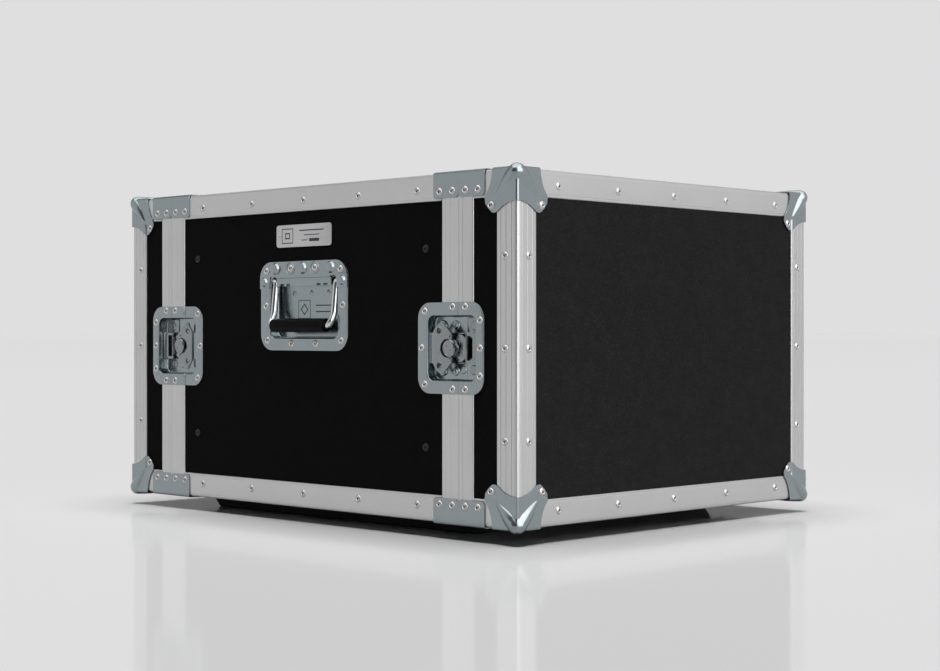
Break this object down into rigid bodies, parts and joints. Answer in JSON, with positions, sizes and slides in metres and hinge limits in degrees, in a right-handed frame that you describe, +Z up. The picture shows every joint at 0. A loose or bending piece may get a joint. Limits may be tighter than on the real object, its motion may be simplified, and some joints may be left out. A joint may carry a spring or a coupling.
{
  "type": "equipment rack case",
  "caption": "Flight case for 19-inch rack gear: black laminate panels, aluminium edges, ball corners, lift-off end lids, recessed butterfly latches and spring handles.",
  "frame": {"origin": "on the floor, under the middle of the case: bottom centre of the bounding box", "axes": "+Z up; +Y along the length from the front lid to the rear lid; +X across the width, towards the right side; the front lid faces -Y and the side with the nameplate faces -X"},
  "size_m": [0.5566, 0.701, 0.403],
  "materials": {
    "laminate": "black phenolic laminate on birch plywood, fine pebbled texture, satin",
    "aluminium": "satin mill-finish extrusion with fine lengthways grooves",
    "zinc_steel": "bright zinc plate, bluish grey, semi-gloss",
    "bright_steel": "polished zinc plate",
    "black_grip": "moulded soft black plastic",
    "strip_steel": "dull zinc plate",
    "black_board": "black painted board, matt",
    "plate_metal": "satin anodised plate with printed rules"
  },
  "bodies": {
    "case_body": {"body_top_panel": "laminate", "body_bottom_panel": "laminate", "base_board": "black_board", "nameplate": "plate_metal", "body_left_panel": "laminate", "body_edge_angle_top_left": "aluminium", "body_edge_angle_bottom_left": "aluminium", "left_handle_dish": "zinc_steel", "left_handle_cover": "zinc_steel", "body_right_panel": "laminate", "body_edge_angle_top_right": "aluminium", "body_edge_angle_bottom_right": "aluminium", "right_handle_dish": "zinc_steel", "right_handle_cover": "zinc_steel", "front_body_frame": "aluminium", "rack_strip_front_left": "strip_steel", "front_left_latch_dish": "zinc_steel", "rack_strip_front_right": "strip_steel", "front_right_latch_dish": "zinc_steel", "rear_body_frame": "aluminium", "rack_strip_rear_left": "strip_steel", "rear_left_latch_dish": "zinc_steel", "rack_strip_rear_right": "strip_steel", "rear_right_latch_dish": "zinc_steel"},
    "front_lid": {"front_lid_face": "laminate", "front_lid_walls": "laminate", "front_lid_edge": "aluminium", "front_lid_frame": "aluminium", "front_left_latch_keeper": "zinc_steel", "front_ball_corner_top_left": "zinc_steel", "front_ball_corner_bottom_left": "zinc_steel", "front_right_latch_keeper": "zinc_steel", "front_ball_corner_top_right": "zinc_steel", "front_ball_corner_bottom_right": "zinc_steel"},
    "rear_lid": {"rear_lid_face": "laminate", "rear_lid_walls": "laminate", "rear_lid_edge": "aluminium", "rear_lid_frame": "aluminium", "rear_left_latch_keeper": "zinc_steel", "rear_ball_corner_top_left": "zinc_steel", "rear_ball_corner_bottom_left": "zinc_steel", "rear_right_latch_keeper": "zinc_steel", "rear_ball_corner_top_right": "zinc_steel", "rear_ball_corner_bottom_right": "zinc_steel"},
    "left_bail": {"left_handle_bail": "bright_steel", "left_handle_grip": "black_grip"},
    "right_bail": {"right_handle_bail": "bright_steel", "right_handle_grip": "black_grip"},
    "front_left_rotor": {"front_left_latch_rotor": "bright_steel"},
    "front_left_wing": {"front_left_latch_wing": "bright_steel"},
    "front_left_hook": {"front_left_latch_hook": "bright_steel"},
    "front_right_rotor": {"front_right_latch_rotor": "bright_steel"},
    "front_right_wing": {"front_right_latch_wing": "bright_steel"},
    "front_right_hook": {"front_right_latch_hook": "bright_steel"},
    "rear_left_rotor": {"rear_left_latch_rotor": "bright_steel"},
    "rear_left_wing": {"rear_left_latch_wing": "bright_steel"},
    "rear_left_hook": {"rear_left_latch_hook": "bright_steel"},
    "rear_right_rotor": {"rear_right_latch_rotor": "bright_steel"},
    "rear_right_wing": {"rear_right_latch_wing": "bright_steel"},
    "rear_right_hook": {"rear_right_latch_hook": "bright_steel"}
  },
  "joints": [
    {"name": "front_lid_slide", "type": "slide", "parent": "case_body", "child": "front_lid", "axis": [0, -1, 0], "range_m": [0, 0.12]},
    {"name": "rear_lid_slide", "type": "slide", "parent": "case_body", "child": "rear_lid", "axis": [0, 1, 0], "range_m": [0, 0.12]},
    {"name": "left_bail_swing", "type": "hinge", "parent": "case_body", "child": "left_bail", "pos_m": [-0.26, 0, 0.286], "axis": [0, 1, 0], "range_deg": [0, 80]},
    {"name": "right_bail_swing", "type": "hinge", "parent": "case_body", "child": "right_bail", "pos_m": [0.26, 0, 0.286], "axis": [0, -1, 0], "range_deg": [0, 80]},
    {"name": "front_left_rotor_turn", "type": "hinge", "parent": "case_body", "child": "front_left_rotor", "pos_m": [-0.262, -0.2437, 0.2075], "axis": [-1, 0, 0], "range_deg": [0, 180]},
    {"name": "front_left_wing_fold", "type": "hinge", "parent": "front_left_rotor", "child": "front_left_wing", "pos_m": [-0.262, -0.2437, 0.2075], "axis": [0, 0, 1], "range_deg": [0, 90]},
    {"name": "front_left_hook_slide", "type": "slide", "parent": "case_body", "child": "front_left_hook", "axis": [0, -1, 0], "range_m": [0, 0.0045]},
    {"name": "front_right_rotor_turn", "type": "hinge", "parent": "case_body", "child": "front_right_rotor", "pos_m": [0.262, -0.2437, 0.2075], "axis": [1, 0, 0], "range_deg": [0, 180]},
    {"name": "front_right_wing_fold", "type": "hinge", "parent": "front_right_rotor", "child": "front_right_wing", "pos_m": [0.262, -0.2437, 0.2075], "axis": [0, 0, -1], "range_deg": [0, 90]},
    {"name": "front_right_hook_slide", "type": "slide", "parent": "case_body", "child": "front_right_hook", "axis": [0, -1, 0], "range_m": [0, 0.0045]},
    {"name": "rear_left_rotor_turn", "type": "hinge", "parent": "case_body", "child": "rear_left_rotor", "pos_m": [-0.262, 0.2437, 0.2075], "axis": [-1, 0, 0], "range_deg": [0, 180]},
    {"name": "rear_left_wing_fold", "type": "hinge", "parent": "rear_left_rotor", "child": "rear_left_wing", "pos_m": [-0.262, 0.2437, 0.2075], "axis": [0, 0, -1], "range_deg": [0, 90]},
    {"name": "rear_left_hook_slide", "type": "slide", "parent": "case_body", "child": "rear_left_hook", "axis": [0, 1, 0], "range_m": [0, 0.0045]},
    {"name": "rear_right_rotor_turn", "type": "hinge", "parent": "case_body", "child": "rear_right_rotor", "pos_m": [0.262, 0.2437, 0.2075], "axis": [1, 0, 0], "range_deg": [0, 180]},
    {"name": "rear_right_wing_fold", "type": "hinge", "parent": "rear_right_rotor", "child": "rear_right_wing", "pos_m": [0.262, 0.2437, 0.2075], "axis": [0, 0, 1], "range_deg": [0, 90]},
    {"name": "rear_right_hook_slide", "type": "slide", "parent": "case_body", "child": "rear_right_hook", "axis": [0, 1, 0], "range_m": [0, 0.0045]}
  ],
  "couplings": [
    {"joint": "front_left_hook_slide", "follows": "front_left_rotor_turn", "m_per_rad": 0.001432},
    {"joint": "front_right_hook_slide", "follows": "front_right_rotor_turn", "m_per_rad": 0.001432},
    {"joint": "rear_left_hook_slide", "follows": "rear_left_rotor_turn", "m_per_rad": 0.001432},
    {"joint": "rear_right_hook_slide", "follows": "rear_right_rotor_turn", "m_per_rad": 0.001432}
  ]
}
